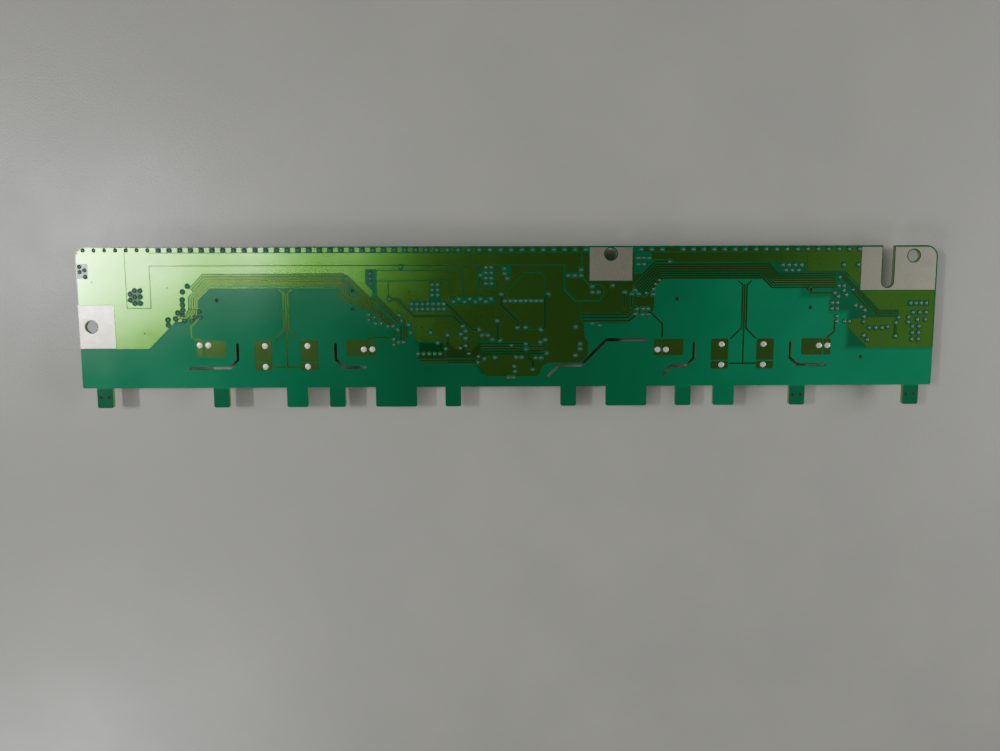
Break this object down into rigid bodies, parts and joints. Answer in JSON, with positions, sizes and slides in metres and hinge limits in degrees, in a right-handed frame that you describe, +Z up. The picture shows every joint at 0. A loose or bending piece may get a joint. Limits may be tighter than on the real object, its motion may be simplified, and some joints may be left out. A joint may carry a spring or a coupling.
{
  "type": "lcd inverter board",
  "caption": "Long narrow backlight inverter board: lamp fingers along one side, masked copper areas and bare earth lands on the printed side, transformers and small parts below.",
  "frame": {"origin": "bottom centre of the bounding box, on the surface that the transformers' cores rest on", "axes": "+X along the board towards the end with the locating slot, +Y from the lamp fingers towards the screw side, +Z up out of the printed side"},
  "size_m": [0.368, 0.0688, 0.0108],
  "materials": {
    "board_laminate": "green solder mask over bare glass-epoxy laminate, satin gloss",
    "masked_copper": "copper foil under green solder mask, satin gloss",
    "masked_track": "narrow copper tracks under green solder mask, satin gloss",
    "masked_plate": "copper plates under green solder mask, satin gloss",
    "solder_levelled_tin": "hot-air levelled solder, dull and mottled",
    "bright_solder": "fresh solder, bright",
    "masked_via": "plated ring covered by thin solder mask",
    "gold_contact": "thin gold over copper, smooth",
    "black_phenolic": "moulded black phenolic, matt",
    "ferrite": "pressed and ground ferrite, matt",
    "primary_wire": "enamelled copper wire, wound",
    "secondary_wire": "fine enamelled copper wire, wound",
    "polyester_tape": "yellow polyester tape, glossy",
    "tinned_lead": "tin-plated copper leads, satin",
    "black_epoxy": "moulded black epoxy, fine matt texture",
    "can_aluminium": "drawn aluminium can, satin",
    "ivory_nylon": "moulded ivory nylon",
    "fuse_ceramic": "white ceramic tube",
    "capacitor_ceramic": "fired brown ceramic",
    "resistor_glaze": "black glaze over resistive film"
  },
  "bodies": {
    "root": {"circuit_board": "board_laminate", "left_earth_pour": "masked_copper", "supply_pour": "masked_copper", "control_pours": "masked_copper", "middle_earth_pour": "masked_copper", "right_supply_pour": "masked_copper", "right_earth_pour": "masked_copper", "edge_strips": "masked_copper", "left_bus_tracks": "masked_track", "control_tracks": "masked_track", "right_bus_tracks": "masked_track", "sense_tracks": "masked_track", "left_capacitor_plates": "masked_plate", "right_capacitor_plates": "masked_plate", "left_earth_land": "solder_levelled_tin", "middle_earth_land": "solder_levelled_tin", "right_earth_land": "solder_levelled_tin", "test_pads": "bright_solder", "via_rings": "masked_via", "lamp_contacts": "gold_contact", "lamp_tracks": "masked_copper", "component_pads": "bright_solder", "left_bobbin": "black_phenolic", "right_bobbin": "black_phenolic", "left_core": "ferrite", "right_core": "ferrite", "left_primary_winding": "primary_wire", "right_primary_winding": "primary_wire", "left_secondary_windings": "secondary_wire", "right_secondary_windings": "secondary_wire", "left_core_tape": "polyester_tape", "right_core_tape": "polyester_tape", "left_terminals": "tinned_lead", "right_terminals": "tinned_lead", "transistor_bodies": "black_epoxy", "transistor_tabs": "tinned_lead", "controller_body": "black_epoxy", "controller_leads": "tinned_lead", "comparator_bodies": "black_epoxy", "comparator_leads": "tinned_lead", "can_shells": "can_aluminium", "can_bases": "black_phenolic", "can_leads": "tinned_lead", "socket_housing": "ivory_nylon", "socket_contacts": "gold_contact", "choke_core": "ferrite", "choke_winding": "primary_wire", "choke_terminals": "tinned_lead", "fuse_body": "fuse_ceramic", "fuse_caps": "tinned_lead", "ceramic_bodies": "capacitor_ceramic", "ceramic_ends": "tinned_lead", "resistor_bodies": "resistor_glaze", "resistor_ends": "tinned_lead", "diode_bodies": "black_epoxy", "diode_leads": "tinned_lead"}
  },
  "joints": []
}
